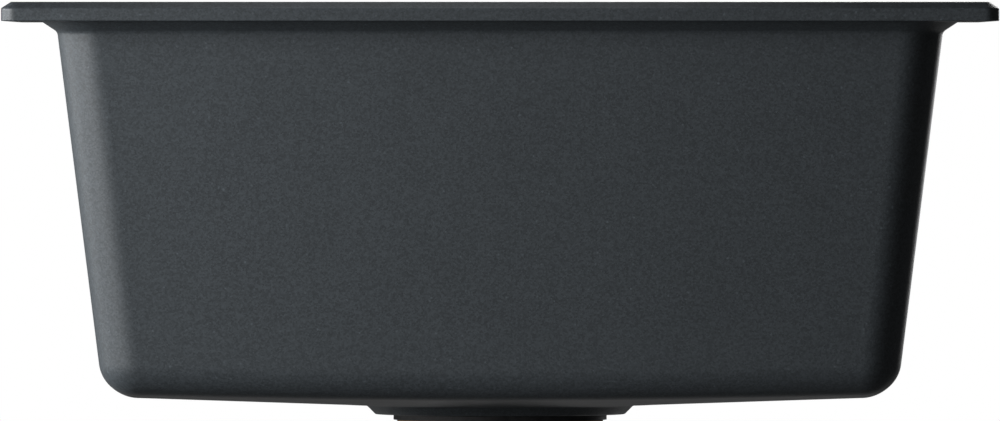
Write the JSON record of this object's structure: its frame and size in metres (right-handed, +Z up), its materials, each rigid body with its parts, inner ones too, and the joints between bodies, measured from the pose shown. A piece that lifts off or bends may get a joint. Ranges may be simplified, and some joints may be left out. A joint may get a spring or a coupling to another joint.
{
  "type": "undermount kitchen sink",
  "caption": "Single-bowl undermount kitchen sink cast in dark granite composite, with rim inserts and a basket strainer whose stopper lifts.",
  "frame": {"origin": "centre of the plane of the rim's top face, which meets the underside of the countertop", "axes": "+Z up out of the bowl, +X along the long side, -Y towards the front, which the picture shows"},
  "size_m": [0.546, 0.457, 0.2801],
  "materials": {
    "granite_composite": "matte",
    "insert_brass": "satin",
    "pressed_steel": "satin",
    "basket_steel": "satin",
    "rod_steel": "satin",
    "knob_chrome": "polished",
    "cast_zinc": "satin",
    "gasket_rubber": "matte",
    "seal_rubber": "matte",
    "ring_rubber": "matte",
    "washer_fibre": "matte",
    "bushing_plastic": "satin"
  },
  "bodies": {
    "sink": {"sink_bowl": "granite_composite", "strainer_body": "pressed_steel", "rim_gasket": "gasket_rubber", "boss_gasket": "gasket_rubber", "friction_washer": "washer_fibre", "locknut": "cast_zinc", "insert_front_left": "insert_brass", "insert_front_middle": "insert_brass", "insert_front_right": "insert_brass", "insert_back_left": "insert_brass", "insert_back_middle": "insert_brass", "insert_back_right": "insert_brass", "insert_left_front": "insert_brass", "insert_left_back": "insert_brass", "insert_right_front": "insert_brass", "insert_right_back": "insert_brass"},
    "basket": {"basket_cup": "basket_steel", "basket_bushing": "bushing_plastic", "detent_ring": "ring_rubber"},
    "stopper": {"lift_rod": "rod_steel", "stopper_seal": "seal_rubber", "seal_retainer": "rod_steel", "seal_nut": "rod_steel", "knob": "knob_chrome"}
  },
  "joints": [
    {"name": "basket_lift", "type": "slide", "parent": "sink", "child": "basket", "axis": [0, 0, 1], "range_m": [0, 0.275]},
    {"name": "stopper_lift", "type": "slide", "parent": "basket", "child": "stopper", "axis": [0, 0, 1], "range_m": [0, 0.008]}
  ]
}
